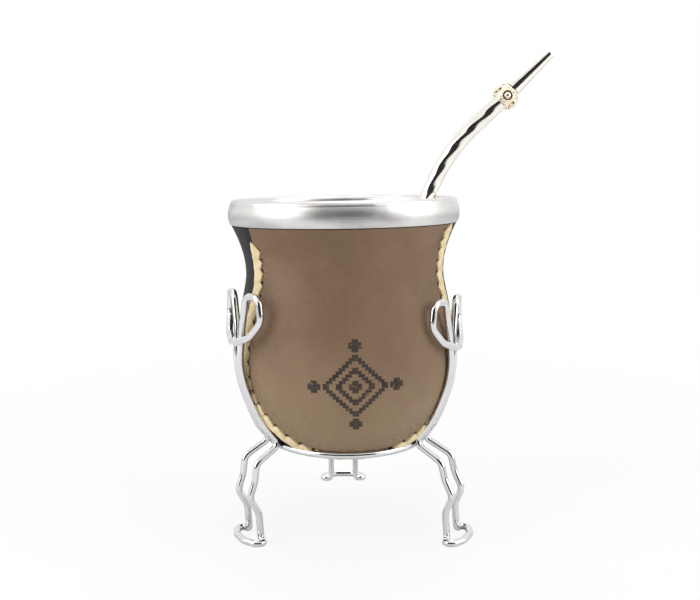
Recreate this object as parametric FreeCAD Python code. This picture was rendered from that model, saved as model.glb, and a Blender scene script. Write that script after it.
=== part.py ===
"""Mate drink in a leather-covered gourd cup on a bent-wire stand, with its metal straw.

Millimetres, +Z up. The model is laid out round the cup's axis, on the surface it stands on,
and is moved at the end so that the origin is the middle of its bottom face.
"""
import FreeCAD, Part
import math
import os

V = FreeCAD.Vector

# ---- cup: heights are taken from its lowest point, radii are of the leather's outer face ----
BELLY_R, BELLY_H = 42.8, 36.2
BASE_IN, BASE_H = 14.2, 3.9           # in from the belly; where the flat bottom turns up
HAUNCH_IN, HAUNCH_H = 4.9, 17.4       # on the curve above it
SHOULDER_IN, SHOULDER_H = 2.8, 60.2
NECK_R, NECK_H = 38.4, 70.2
MOUTH_H = 88.2                        # where the leather meets the rim's edge
OUTLINE_STEPS = 600                   # points in the table that outline_r looks up
BASE_R = BELLY_R - BASE_IN
HAUNCH_R = BELLY_R - HAUNCH_IN
SHOULDER_R = BELLY_R - SHOULDER_IN
LEATHER_T = 1.4
GOURD_WALL = 5.0
FLOOR_T = 6.0
CUP_TURN = 6.2                        # the front panel faces a little to the right
CUP_TILT = 0.9                        # and the cup sits a little askew

# ---- rim ----
RIM_R = 44.6                          # at its fullest
RIM_BULGE = 0.7                       # how far its edges draw in from that
RIM_BAND = 9.4                        # height of the band that shows
RIM_T = 0.8
LIP_R = 2.1                           # rolled top edge
FLANGE_DEPTH = 11.0                   # inner flange, from the crest down
FLANGE_IN = 2.8                       # how far the flange slopes in over that depth
RIM_CLEAR = 0.1
MOUTH_IN = 0.5                        # the leather's mouth, in from the rim's edge
MOUTH_R = RIM_R - RIM_BULGE - MOUTH_IN

# ---- seam of the front panel, and the rawhide laced over it ----
SEAM_NECK_DEG = 58.0
SEAM_BELLY_DEG = 65.0
SEAM_BOTTOM_H = 7.0                   # lowest point of the U
SEAM_POWER = 2.4                      # squareness of the U
LACE_W = 4.2
LACE_T = 1.3

# ---- stand ----
WIRE_R = 1.3
RING_R, RING_Z = 31.0, 36.0
FOOT_FLAT = 0.15                      # worn flat where the feet stand
STRAND_GAP = 5.5                      # half the distance between a leg's two strands
STEM_GAP = 1.45                       # the same where they run together up the belly
KNEE_BEND = 2.4
KNEE_TURN_DEG = 104.0
KNEE_NARROW = 1.0                     # the strands stand this much closer at the knee
KNEE_TOUCH_DEG = 20.0                 # where on the ring's section the knee bears
# down the leg: height, distance out from the ring, bend radius
LEG_CORNERS = [(31.0, 11.1, 4.0), (24.2, 11.9, 14.0), (18.0, 14.1, 3.6), (11.6, 10.5, 8.0)]
HEEL_OUT, HEEL_BEND = 9.7, 2.4
FOOT_LENGTH, FOOT_WIDTH = 6.0, 19.0
# round the foot: share of its length, share of its half width, bend radius
FOOT_CORNERS = [(0.2, 1.0, 3.0), (0.7, 0.92, 4.0), (1.0, 0.35, 5.0)]
LOOP_Z, LOOP_H, LOOP_W = 77.0, 17.6, 13.0
# round a loop from its end: shares of its width and height, wires off the arm, bend radius
LOOP_CORNERS = [
    (0.0, 0.0, 2, 0.0),
    (0.6, 0.148, 1, 7.0),
    (1.0, 0.5, 0, 6.0),
    (0.908, 1.0, 0, 3.4),
    (0.323, 1.0, 0, 3.6),
    (0.062, 0.284, 0, 14.0),
]
LOOP_REACH = 6.0                      # height in the loop at which it clears the leather
# down an arm: height on the cup, share of the arm's gap, extra half gap, bend radius
ARM_CORNERS = [(37.2, 0.9, 0.0, 40.0), (28.2, 0.5, 0.0, 40.0), (18.2, 0.35, 0.6, 25.0)]
KNEE_RISE_BEND = 12.0                 # the bend half-way from the knee to the lowest arm corner
# name: azimuth, splay of the foot, gap between the arms and the leather, drop of the loops
LEGS = {
    "leg_left": (210.0, 0.0, 2.4, 0.0),
    "leg_right": (334.0, 5.0, 0.6, 2.6),
    "leg_back": (92.0, 2.5, 1.5, 1.3),
}

# ---- straw ----
STRAW_R = 3.1
STRAW_WALL = 0.5
STRAW_Y = 4.0
STRAW_X = 31.8                        # its centre at the height of the rim's crest
STRAW_LEAN = 18.7                     # from upright, inside the cup
STRAW_TOP_LEAN = 46.3                 # from upright, at the mouthpiece
STRAW_BEND_R = 65.7
STRAW_RISE = 0.5                      # from the crest to where the bend starts
STRAW_STRAIGHT = 14.2                  # between the bend and the collar
COLLAR_L, COLLAR_T = 7.0, 0.6
COLLAR_BULGE = 0.9
MOUTHPIECE_L = 19.4
MOUTHPIECE_TIP_R = 1.9
BORE_R = 1.15
STRAINER_R, STRAINER_L = 6.2, 21.0
STRAINER_LIFT = 1.5                   # over the floor of the cup
BOSS_COUNT = 4
BOSS_R, BOSS_REACH = 2.7, 2.5

# ---- drink ----
DRINK_DEPTH = 15.0                    # level, below the rim's crest
YERBA_HIGH, YERBA_LOW = 8.0, 25.0     # heap's top and foot, below the crest
HEAP_SHIFT, HEAP_SLOPE = 4.0, 0.62    # where the bank falls away, and how steeply
# waves of the heap's top: height, turn per mm and start along x, the same along y
HEAP_WAVES = [(0.7, 0.45, 1.1, 0.38, -0.4), (0.35, 0.9, 0.3, 0.7, 0.9)]
YERBA_GRID = 13


def spline(stations, depth=0):
    """Smooth curve through (r, z, heading) stations, set in to the left of its headings by depth."""
    points = []
    headings = []
    for r, z, heading in stations:
        along = V(heading[0], 0, heading[1]).normalize()
        points.append(V(r - along.z * depth, 0, z + along.x * depth))
        headings.append(along)
    curve = Part.BSplineCurve()
    curve.interpolate(Points=points, Tangents=headings, TangentFlags=[True] * len(points))
    return curve


def skin_curve(depth):
    """The cup's outline, set in from the leather's outer face by depth."""
    return spline([
        (0, 0, (1, 0)),
        (BASE_R, BASE_H, (4, 3)),
        (HAUNCH_R, HAUNCH_H, (4, 9)),
        (BELLY_R, BELLY_H, (0, 1)),
        (SHOULDER_R, SHOULDER_H, (-2, 10)),
        (NECK_R, NECK_H, (0, 1)),
        (MOUTH_R, MOUTH_H, (4, 8)),
    ], depth)


OUTLINE_POINTS = skin_curve(0).discretize(OUTLINE_STEPS)


def outline_r(height):
    """Outer radius of the leather at a height above the cup's lowest point, 0 under it."""
    if height < 0:
        return 0.0
    for low, high in zip(OUTLINE_POINTS, OUTLINE_POINTS[1:]):
        if low.z <= height <= high.z:
            return low.x + (high.x - low.x) * (height - low.z) / (high.z - low.z)
    return OUTLINE_POINTS[-1].x


def seat_height():
    """Height above the cup's lowest point at which the ring's wire bears on the leather."""
    low, high = -2 * WIRE_R, HAUNCH_H
    for _ in range(40):
        middle = (low + high) / 2
        centre = V(RING_R, 0, middle)
        gap = Part.Vertex(centre).distToShape(skin_curve(0).toShape())[0]
        if gap > WIRE_R and outline_r(middle) < RING_R:
            low = middle
        else:
            high = middle
    return (low + high) / 2


CUP_Z = RING_Z - seat_height()
CREST_H = MOUTH_H + RIM_BAND
CREST_Z = CUP_Z + CREST_H


def revolve(edges):
    face = Part.Face(Part.Wire(edges))
    return face.revolve(V(0, 0, 0), V(0, 0, 1), 360)


def line(a, b):
    return Part.LineSegment(V(a[0], 0, a[1]), V(b[0], 0, b[1])).toShape()


def arc(a, b, c):
    return Part.Arc(V(a[0], 0, a[1]), V(b[0], 0, b[1]), V(c[0], 0, c[1])).toShape()


def block(depth):
    """Solid of revolution inside the outline, set in by depth, up to under the rolled lip."""
    curve = skin_curve(depth)
    mouth = curve.EndPoint
    top = CREST_H - LIP_R
    return revolve([
        curve.toShape(),
        line((mouth.x, mouth.z), (mouth.x, top)),
        line((mouth.x, top), (0, top)),
        line((0, top), (0, depth)),
    ])


def flange_points():
    """Outer face of the rim's inner flange: its top and its lower edge."""
    top = (RIM_R - RIM_BULGE - 2 * LIP_R + RIM_T, CREST_H - LIP_R)
    low = (top[0] - FLANGE_IN, CREST_H - FLANGE_DEPTH)
    return top, low


def cavity():
    """Everything inside the gourd's inner wall, up to the height of the crest."""
    top, low = flange_points()
    inset = LEATHER_T + GOURD_WALL
    wall = spline([
        (0, FLOOR_T, (1, 0)),
        (BASE_R - inset, BASE_H + inset, (1, 1)),
        (BELLY_R - inset, BELLY_H, (0, 1)),
        (NECK_R - inset, NECK_H, (0, 1)),
        (low[0], low[1], (FLANGE_IN, FLANGE_DEPTH)),
    ])
    return revolve([
        wall.toShape(),
        line(low, top),
        line(top, (top[0], CREST_H)),
        line((top[0], CREST_H), (0, CREST_H)),
        line((0, CREST_H), (0, FLOOR_T)),
    ])


def make_rim():
    top, low = flange_points()
    edge_r = RIM_R - RIM_BULGE
    inner_r = MOUTH_R + RIM_CLEAR
    lip_x = edge_r - LIP_R
    lip_z = CREST_H - LIP_R
    return revolve([
        arc((edge_r, MOUTH_H), (RIM_R, MOUTH_H + 0.5 * RIM_BAND), (edge_r, lip_z)),
        arc((edge_r, lip_z), (lip_x, CREST_H), (edge_r - 2 * LIP_R, lip_z)),
        line((edge_r - 2 * LIP_R, lip_z), (low[0] - RIM_T, low[1])),
        line((low[0] - RIM_T, low[1]), low),
        line(low, top),
        line(top, (inner_r, lip_z)),
        line((inner_r, lip_z), (inner_r, MOUTH_H)),
        line((inner_r, MOUTH_H), (edge_r, MOUTH_H)),
    ])


def seam_angle(height, spread):
    """Half the angle that the front panel takes up at a height, widened by spread (mm)."""
    bottom = SEAM_BOTTOM_H - spread
    wide = SEAM_BELLY_DEG
    if height >= NECK_H:
        angle = SEAM_NECK_DEG
    elif height >= BELLY_H:
        share = (height - BELLY_H) / (NECK_H - BELLY_H)
        ease = share * share * (3 - 2 * share)
        angle = wide + (SEAM_NECK_DEG - wide) * ease
    else:
        fall = min(1.0, (BELLY_H - height) / (BELLY_H - bottom))
        angle = wide * (1 - fall ** SEAM_POWER) ** (1 / SEAM_POWER)
    return angle + math.degrees(spread / outline_r(height)) * min(1.0, angle / 20)


def seam_prism(spread):
    """Prism with the front panel's U outline, reaching forward from the axis."""
    bottom = SEAM_BOTTOM_H - spread
    steps = 22
    heights = [bottom + (BELLY_H - bottom) * (i / steps) ** 2 for i in range(1, steps)]
    heights += [BELLY_H + (MOUTH_H - BELLY_H) * i / steps for i in range(steps + 1)]
    side = []
    for height in heights:
        reach = outline_r(height) * math.sin(math.radians(seam_angle(height, spread)))
        side.append(V(reach, 0, height))
    top = V(side[-1].x, 0, CREST_H)
    left = [V(-point.x, 0, point.z) for point in reversed(side)]
    curve = Part.BSplineCurve()
    curve.interpolate(left + [V(0, 0, bottom)] + side)
    top_left = V(-top.x, 0, top.z)
    edges = [
        curve.toShape(),
        Part.LineSegment(side[-1], top).toShape(),
        Part.LineSegment(top, top_left).toShape(),
        Part.LineSegment(top_left, left[0]).toShape(),
    ]
    prism = Part.Face(Part.Wire(edges)).extrude(V(0, -2 * BELLY_R, 0))
    prism.rotate(V(0, 0, 0), V(0, 0, 1), CUP_TURN)
    return prism


def make_leather():
    shell = block(0).cut(block(LEATHER_T))
    panel = seam_prism(LACE_W / 2)
    return shell.common(panel), shell.cut(panel)


def make_lacing():
    band = seam_prism(LACE_W).cut(seam_prism(0))
    below_rim = Part.makeCylinder(2 * BELLY_R, MOUTH_H - RIM_CLEAR, V(0, 0, 0), V(0, 0, 1))
    raised = block(-LACE_T).common(band).common(below_rim)
    return raised.cut(block(0))


def make_gourd():
    return block(LEATHER_T).cut(cavity())


# ---- wire ----
def rounded_path(corners):
    """Wire through corners (point, radius), every inner corner rounded to its radius."""
    edges = []
    start = corners[0][0]
    for index in range(1, len(corners) - 1):
        corner, radius = corners[index]
        back = (corners[index - 1][0] - corner).normalize()
        ahead = (corners[index + 1][0] - corner).normalize()
        half = back.getAngle(ahead) / 2
        room = min((corners[index - 1][0] - corner).Length, (corners[index + 1][0] - corner).Length)
        setback = min(radius / math.tan(half), 0.48 * room)
        radius = setback * math.tan(half)
        into = corner + back * setback
        out = corner + ahead * setback
        bisector = (back + ahead).normalize()
        middle = corner + bisector * (radius / math.sin(half) - radius)
        edges.append(Part.LineSegment(start, into).toShape())
        edges.append(Part.Arc(into, middle, out).toShape())
        start = out
    edges.append(Part.LineSegment(start, corners[-1][0]).toShape())
    return Part.Wire(edges)


def pipe(path, radius):
    first = path.OrderedEdges[0]
    start = first.valueAt(first.FirstParameter)
    heading = first.tangentAt(first.FirstParameter)
    profile = Part.Wire(Part.makeCircle(radius, start, heading))
    return path.makePipeShell([profile], True, False)


def knee_r():
    """Radius of the knee's corner: its rounded bend bears on the ring."""
    bearing = RING_R + 2 * WIRE_R * math.cos(math.radians(KNEE_TOUCH_DEG))
    half_turn = math.radians(KNEE_TURN_DEG / 2)
    return bearing - KNEE_BEND * (1 / math.cos(half_turn) - 1)


def strand(splay, arm_gap, drop):
    """Corners (r, t, z, bend radius) of one strand, from its loop's end to the middle of the foot."""
    def arm(z, share):
        return outline_r(z - CUP_Z) + WIRE_R + arm_gap * share

    def low(out, z):
        return RING_R + out + splay * (RING_Z - z) / RING_Z

    base = LOOP_Z - drop
    loop_r = arm(base + LOOP_REACH, 1)
    knee_z = RING_Z + 2 * WIRE_R * math.sin(math.radians(KNEE_TOUCH_DEG))
    knee_t = STRAND_GAP - KNEE_NARROW
    corners = []
    for across, up, wires, bend in LOOP_CORNERS:
        corners.append((loop_r + wires * WIRE_R, STEM_GAP + across * LOOP_W, base + up * LOOP_H, bend))
    for height, share, extra, bend in ARM_CORNERS:
        corners.append((arm(CUP_Z + height, share), STEM_GAP + extra, CUP_Z + height, bend))
    rise_z = (knee_z + corners[-1][2]) / 2
    rise_t = (knee_t + corners[-1][1]) / 2
    rise_r = max(arm(rise_z, ARM_CORNERS[-1][1]), (knee_r() + corners[-1][0]) / 2)
    corners.append((rise_r, rise_t, rise_z, KNEE_RISE_BEND))
    corners.append((knee_r(), knee_t, knee_z, KNEE_BEND))
    for z, out, bend in LEG_CORNERS:
        corners.append((low(out, z), STRAND_GAP, z, bend))
    floor = WIRE_R - FOOT_FLAT
    heel = low(HEEL_OUT, 0)
    corners.append((heel, STRAND_GAP, floor, HEEL_BEND))
    for share, wide, bend in FOOT_CORNERS:
        corners.append((heel + share * FOOT_LENGTH, wide * FOOT_WIDTH / 2, floor, bend))
    return corners


def make_leg(azimuth, splay, arm_gap, drop):
    """One bent wire: up one strand, round the foot, and up the other."""
    def place(r, t, z):
        angle = math.radians(azimuth) + t / r
        return V(r * math.cos(angle), r * math.sin(angle), z)

    side = strand(splay, arm_gap, drop)
    corners = [(place(r, t, z), bend) for r, t, z, bend in side]
    corners += [(place(r, -t, z), bend) for r, t, z, bend in reversed(side)]
    wire = pipe(rounded_path(corners), WIRE_R)
    ground = Part.makeBox(200, 200, 10, V(-100, -100, -10))
    return wire.cut(ground)


def make_ring():
    return Part.makeTorus(RING_R, WIRE_R, V(0, 0, RING_Z))


# ---- straw ----
def straw_stations():
    """Points and headings along the straw: strainer, bend, collar, mouthpiece."""
    lean = math.radians(STRAW_LEAN)
    top_lean = math.radians(STRAW_TOP_LEAN)
    up = V(math.sin(lean), 0, math.cos(lean))
    up_top = V(math.sin(top_lean), 0, math.cos(top_lean))
    crossing = V(STRAW_X, STRAW_Y, CREST_Z)
    bend_start = crossing + up * STRAW_RISE
    centre = bend_start + V(math.cos(lean), 0, -math.sin(lean)) * STRAW_BEND_R

    def on_bend(angle):
        return centre - V(math.cos(angle), 0, -math.sin(angle)) * STRAW_BEND_R

    bend_middle = on_bend((lean + top_lean) / 2)
    bend_end = on_bend(top_lean)
    floor_z = CUP_Z + FLOOR_T + STRAINER_LIFT + STRAINER_R
    foot = crossing - up * ((CREST_Z - floor_z) / math.cos(lean))
    neck = foot + up * STRAINER_L
    collar = bend_end + up_top * STRAW_STRAIGHT
    return foot, neck, bend_start, bend_middle, bend_end, collar, up, up_top


def straw_path():
    _, neck, bend_start, bend_middle, bend_end, collar, _, _ = straw_stations()
    return Part.Wire([
        Part.LineSegment(neck, bend_start).toShape(),
        Part.Arc(bend_start, bend_middle, bend_end).toShape(),
        Part.LineSegment(bend_end, collar).toShape(),
    ])


def make_tube():
    return pipe(straw_path(), STRAW_R).cut(pipe(straw_path(), STRAW_R - STRAW_WALL))


def on_axis(shape, base, heading):
    """Turn a shape built up the Z axis so that it starts at base and runs along heading."""
    shape.Placement = FreeCAD.Placement(base, FreeCAD.Rotation(V(0, 0, 1), heading))
    return shape


def make_collar():
    """Bossed flower collar between the tube and the mouthpiece."""
    _, _, _, _, _, collar, _, up_top = straw_stations()
    waist = STRAW_R + COLLAR_T
    profile = Part.Wire([
        line((STRAW_R - STRAW_WALL, 0), (waist, 0)),
        arc((waist, 0), (waist + COLLAR_BULGE, 0.5 * COLLAR_L), (waist, COLLAR_L)),
        line((waist, COLLAR_L), (STRAW_R - STRAW_WALL, COLLAR_L)),
        line((STRAW_R - STRAW_WALL, COLLAR_L), (STRAW_R - STRAW_WALL, 0)),
    ])
    body = Part.Face(profile).revolve(V(0, 0, 0), V(0, 0, 1), 360)
    for index in range(BOSS_COUNT):
        angle = 2 * math.pi * index / BOSS_COUNT
        centre = V(BOSS_REACH * math.cos(angle), BOSS_REACH * math.sin(angle), 0.5 * COLLAR_L)
        body = body.fuse(Part.makeSphere(BOSS_R, centre))
    bore = Part.makeCylinder(STRAW_R - STRAW_WALL, COLLAR_L)
    return on_axis(body.cut(bore).removeSplitter(), collar, up_top)


def make_mouthpiece():
    _, _, _, _, _, collar, _, up_top = straw_stations()
    cone = Part.makeCone(STRAW_R, MOUTHPIECE_TIP_R, MOUTHPIECE_L)
    lip = max(cone.Edges, key=lambda edge: edge.BoundBox.ZMin)
    cone = cone.makeFillet(0.3, [lip])
    bore = Part.makeCone(STRAW_R - STRAW_WALL, BORE_R, MOUTHPIECE_L)
    return on_axis(cone.cut(bore), collar + up_top * COLLAR_L, up_top)


def make_strainer():
    """Closed bulb at the straw's foot: ball ends joined by a tapering barrel, up to the tube."""
    foot, _, _, _, _, _, up, _ = straw_stations()
    tail = (STRAW_R, STRAINER_L)
    profile = [
        arc((0, -STRAINER_R), (STRAINER_R * math.sqrt(0.5), -STRAINER_R * math.sqrt(0.5)),
            (STRAINER_R, 0)),
        spline([(STRAINER_R, 0, (0, 1)), (STRAW_R, STRAINER_L, (0, 1))]).toShape(),
        line(tail, (0, STRAINER_L)),
        line((0, STRAINER_L), (0, -STRAINER_R)),
    ]
    return on_axis(revolve(profile), foot, up)


# ---- drink ----
def heap_z(x, y, crest):
    """Height of the yerba's top: a bank on the left that falls away to the straw's side."""
    inner = NECK_R - LEATHER_T - GOURD_WALL
    share = min(1.0, max(0.0, 0.5 - HEAP_SLOPE * (x + HEAP_SHIFT) / inner))
    ease = share * share * (3 - 2 * share)
    bank = -YERBA_LOW + (YERBA_LOW - YERBA_HIGH) * ease
    waves = sum(high * math.sin(kx * x + ax) * math.sin(ky * y + ay) for high, kx, ax, ky, ay in HEAP_WAVES)
    return crest + bank + waves


def make_drink(straw):
    """The wet yerba and, over its low side, the drink up to its level."""
    inside = cavity()
    inside.translate(V(0, 0, CUP_Z))
    tilt_cup(inside)
    span = MOUTH_R + 2
    step = 2 * span / (YERBA_GRID - 1)
    rows = []
    for i in range(YERBA_GRID):
        x = -span + i * step
        rows.append([V(x, -span + j * step, heap_z(x, -span + j * step, CREST_Z)) for j in range(YERBA_GRID)])
    roof = Part.BSplineSurface()
    roof.interpolate(rows)
    over = roof.toShape().extrude(V(0, 0, 3 * YERBA_LOW))
    below_level = Part.makeBox(4 * span, 4 * span, CREST_Z - DRINK_DEPTH, V(-2 * span, -2 * span, 0))
    yerba = inside.cut(over).cut(straw)
    infusion = inside.common(over).common(below_level).cut(straw)
    return yerba, infusion


def tilt_cup(shape):
    shape.rotate(V(0, 0, CUP_Z + BELLY_H), V(0, 1, 0), -CUP_TILT)
    return shape


def build():
    front, back = make_leather()
    cup = {
        "rim": make_rim(),
        "gourd": make_gourd(),
        "leather_front": front,
        "leather_back": back,
        "lacing": make_lacing(),
    }
    for shape in cup.values():
        shape.translate(V(0, 0, CUP_Z))
        tilt_cup(shape)
    straw = {
        "straw_tube": make_tube(),
        "straw_collar": make_collar(),
        "straw_mouthpiece": make_mouthpiece(),
        "straw_strainer": make_strainer(),
    }
    solid_straw = pipe(straw_path(), STRAW_R).fuse(straw["straw_strainer"])
    yerba, infusion = make_drink(solid_straw)
    stand = {"ring": make_ring()}
    for name, settings in LEGS.items():
        stand[name] = make_leg(*settings)
    return {**cup, **straw, "yerba": yerba, "infusion": infusion, **stand}


def main():
    shapes = build()
    whole = FreeCAD.BoundBox()
    for shape in shapes.values():
        whole.add(shape.optimalBoundingBox(False))
    shift = V(-whole.Center.x, -whole.Center.y, -whole.ZMin)
    os.makedirs("parts", exist_ok=True)
    for name, shape in shapes.items():
        shape.translate(shift)
        solids = shape.Solids
        solid = solids[0] if len(solids) == 1 else shape
        print(f"{name:18s} solids {len(solids)} valid {shape.isValid()} volume {shape.Volume:9.1f}")
        solid.exportStep(f"parts/{name}.step")
    print(f"size {whole.XLength:.1f} x {whole.YLength:.1f} x {whole.ZLength:.1f}, "
          f"cup axis at {shift.x:.2f}, {shift.y:.2f}, crest {CREST_Z + shift.z:.2f}, cup bottom {CUP_Z:.2f}")


main()
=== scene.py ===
# %% [markdown]
# # A mate drink in a leather-covered gourd
#
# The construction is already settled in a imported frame: the metal rim, the gourd, the
# bent-wire stand and the metal straw at their real sizes. This lesson gives that frame its
# looks. Metal pieces whose shape is right keep their mesh and only get a finish. Leather,
# lacing, the fluted straw and the drink itself are modelled here, each as its own piece.

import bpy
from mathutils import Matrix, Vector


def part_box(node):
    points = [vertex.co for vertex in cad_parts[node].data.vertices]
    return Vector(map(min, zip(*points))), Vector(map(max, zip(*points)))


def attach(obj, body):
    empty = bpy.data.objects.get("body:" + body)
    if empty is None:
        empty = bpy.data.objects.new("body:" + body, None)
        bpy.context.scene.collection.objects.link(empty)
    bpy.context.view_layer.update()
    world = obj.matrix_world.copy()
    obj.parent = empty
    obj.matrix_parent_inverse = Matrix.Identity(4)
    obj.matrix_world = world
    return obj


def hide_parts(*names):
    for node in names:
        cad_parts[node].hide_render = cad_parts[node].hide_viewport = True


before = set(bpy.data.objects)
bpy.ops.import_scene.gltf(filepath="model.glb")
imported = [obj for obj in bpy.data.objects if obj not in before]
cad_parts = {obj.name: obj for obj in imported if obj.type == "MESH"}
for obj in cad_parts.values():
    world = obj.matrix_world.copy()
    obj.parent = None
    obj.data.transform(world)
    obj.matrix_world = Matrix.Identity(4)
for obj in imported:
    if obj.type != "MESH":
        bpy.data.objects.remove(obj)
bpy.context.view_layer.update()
print("frame nodes:", ", ".join(sorted(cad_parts)))

# %% Selecting, naming and editing
import math
import random
from math import cos, radians, sin

import bpy
from mathutils import Matrix, Vector
from mathutils.kdtree import KDTree

MM = 0.001


def select_only(*pieces):
    """Deselects everything, then selects these pieces and makes the last one active."""
    bpy.ops.object.select_all(action="DESELECT")
    for piece in pieces:
        piece.select_set(True)
    bpy.context.view_layer.objects.active = pieces[-1]


def adopt(name):
    """Names the object that an operator has just made."""
    piece = bpy.context.object
    piece.name = name
    piece.data.name = name
    return piece


def start_edit(piece, action="DESELECT"):
    select_only(piece)
    bpy.ops.object.mode_set(mode="EDIT")
    bpy.ops.mesh.select_mode(type="VERT")
    bpy.ops.mesh.select_all(action=action)


def end_edit():
    bpy.ops.object.mode_set(mode="OBJECT")


def apply_modifier(piece, kind, **settings):
    """Adds a modifier with its settings and applies it at once."""
    select_only(piece)
    modifier = piece.modifiers.new(kind.title(), kind)
    for key, value in settings.items():
        setattr(modifier, key, value)
    bpy.ops.object.modifier_apply(modifier=modifier.name)


def move_points(piece, rule):
    """Gives every vertex the place that a rule works out from its present one."""
    for vertex in piece.data.vertices:
        vertex.co = rule(vertex.co)
    piece.data.update()


def copy_of(piece, name):
    """A copy with its own mesh."""
    select_only(piece)
    bpy.ops.object.duplicate(linked=False)
    return adopt(name)


def join(pieces, name):
    select_only(*pieces)
    if len(pieces) > 1:
        bpy.ops.object.join()
    return adopt(name)


def settle(piece, place=None):
    """Moves a piece's mesh to its place and leaves the object at the origin, smooth-shaded."""
    if place is not None:
        piece.data.transform(place)
    select_only(piece)
    bpy.ops.object.transform_apply(location=True, rotation=True, scale=True)
    bpy.ops.object.shade_smooth_by_angle(angle=radians(40))
    return piece


def report(piece):
    triangles = sum(len(polygon.vertices) - 2 for polygon in piece.data.polygons)
    size = [round(side / MM, 1) for side in piece.dimensions]
    print(f"{piece.name}: {triangles} triangles, {size} mm")

# %% [markdown]
# ## Where the cup sits
#
# The stand's ring is centred on the cup's axis, so the ring gives the axis. The cup leans a
# little to the left and its front panel is turned a little to the right, as hand-made cups
# do. Everything on the cup is modelled upright, with heights from the cup's lowest point,
# and one matrix then puts it into the frame.

# %% The cup's own frame
ring_low, ring_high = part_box("ring")
axis = (ring_low + ring_high) / 2
cup_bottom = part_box("leather_back")[0].z

CUP_TILT = radians(0.9)
CUP_TURN = radians(6.2)
BELLY_H = 36.2 * MM
NECK_H = 70.2 * MM
MOUTH_H = 88.2 * MM
RIM_BAND = 9.4 * MM
crest_h = MOUTH_H + RIM_BAND

belly_centre = Vector((axis.x, axis.y, cup_bottom + BELLY_H))
cup_place = (Matrix.Translation(belly_centre) @ Matrix.Rotation(-CUP_TILT, 4, "Y")
             @ Matrix.Translation((0, 0, -BELLY_H)))
crest_z = cup_bottom + crest_h
print("cup axis", [round(v / MM, 2) for v in axis], "mm, crest", round(crest_z / MM, 2))

# %% [markdown]
# ## Shader maths
#
# A finish is easier to read as sums than as a picture of nodes. `Number` wraps a socket, and
# Python's operators on it add Math nodes. `Sheet` is one material: its `node` method takes a
# node's type, its settings and the values or links of its sockets.

# %% Number
class Number:
    """A socket that carries one number."""

    def __init__(self, sheet, socket):
        self.sheet, self.socket = sheet, socket

    def math(self, operation, *values, clamp=False):
        settings = {"operation": operation, "use_clamp": clamp}
        return self.sheet.number("ShaderNodeMath", settings, dict(enumerate(values)))

    def __add__(self, other):
        return self.math("ADD", self, other)

    def __sub__(self, other):
        return self.math("SUBTRACT", self, other)

    def __rsub__(self, other):
        return self.math("SUBTRACT", other, self)

    def __mul__(self, other):
        return self.math("MULTIPLY", self, other)

    def __truediv__(self, other):
        return self.math("DIVIDE", self, other)

    __radd__ = __add__
    __rmul__ = __mul__

    def at_most(self, other):
        """1 where this is under the other value, else 0."""
        return self.math("LESS_THAN", self, other)

    def call(self, operation, *values):
        return self.math(operation, self, *values)

    def ease(self, low, high):
        """0 below low, 1 above high and a smooth step between; low may be the larger."""
        flip = low > high
        settings = {"interpolation_type": "SMOOTHSTEP"}
        inputs = {"Value": self, "From Min": min(low, high), "From Max": max(low, high)}
        step = self.sheet.number("ShaderNodeMapRange", settings, inputs, "Result")
        return 1 - step if flip else step

# %% Sheet
# A Mix node keeps sockets for numbers, vectors and colours; these are the colour ones.
MIX_COLOUR_INPUTS, MIX_COLOUR_OUTPUT = (0, 6, 7), 2


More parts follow.
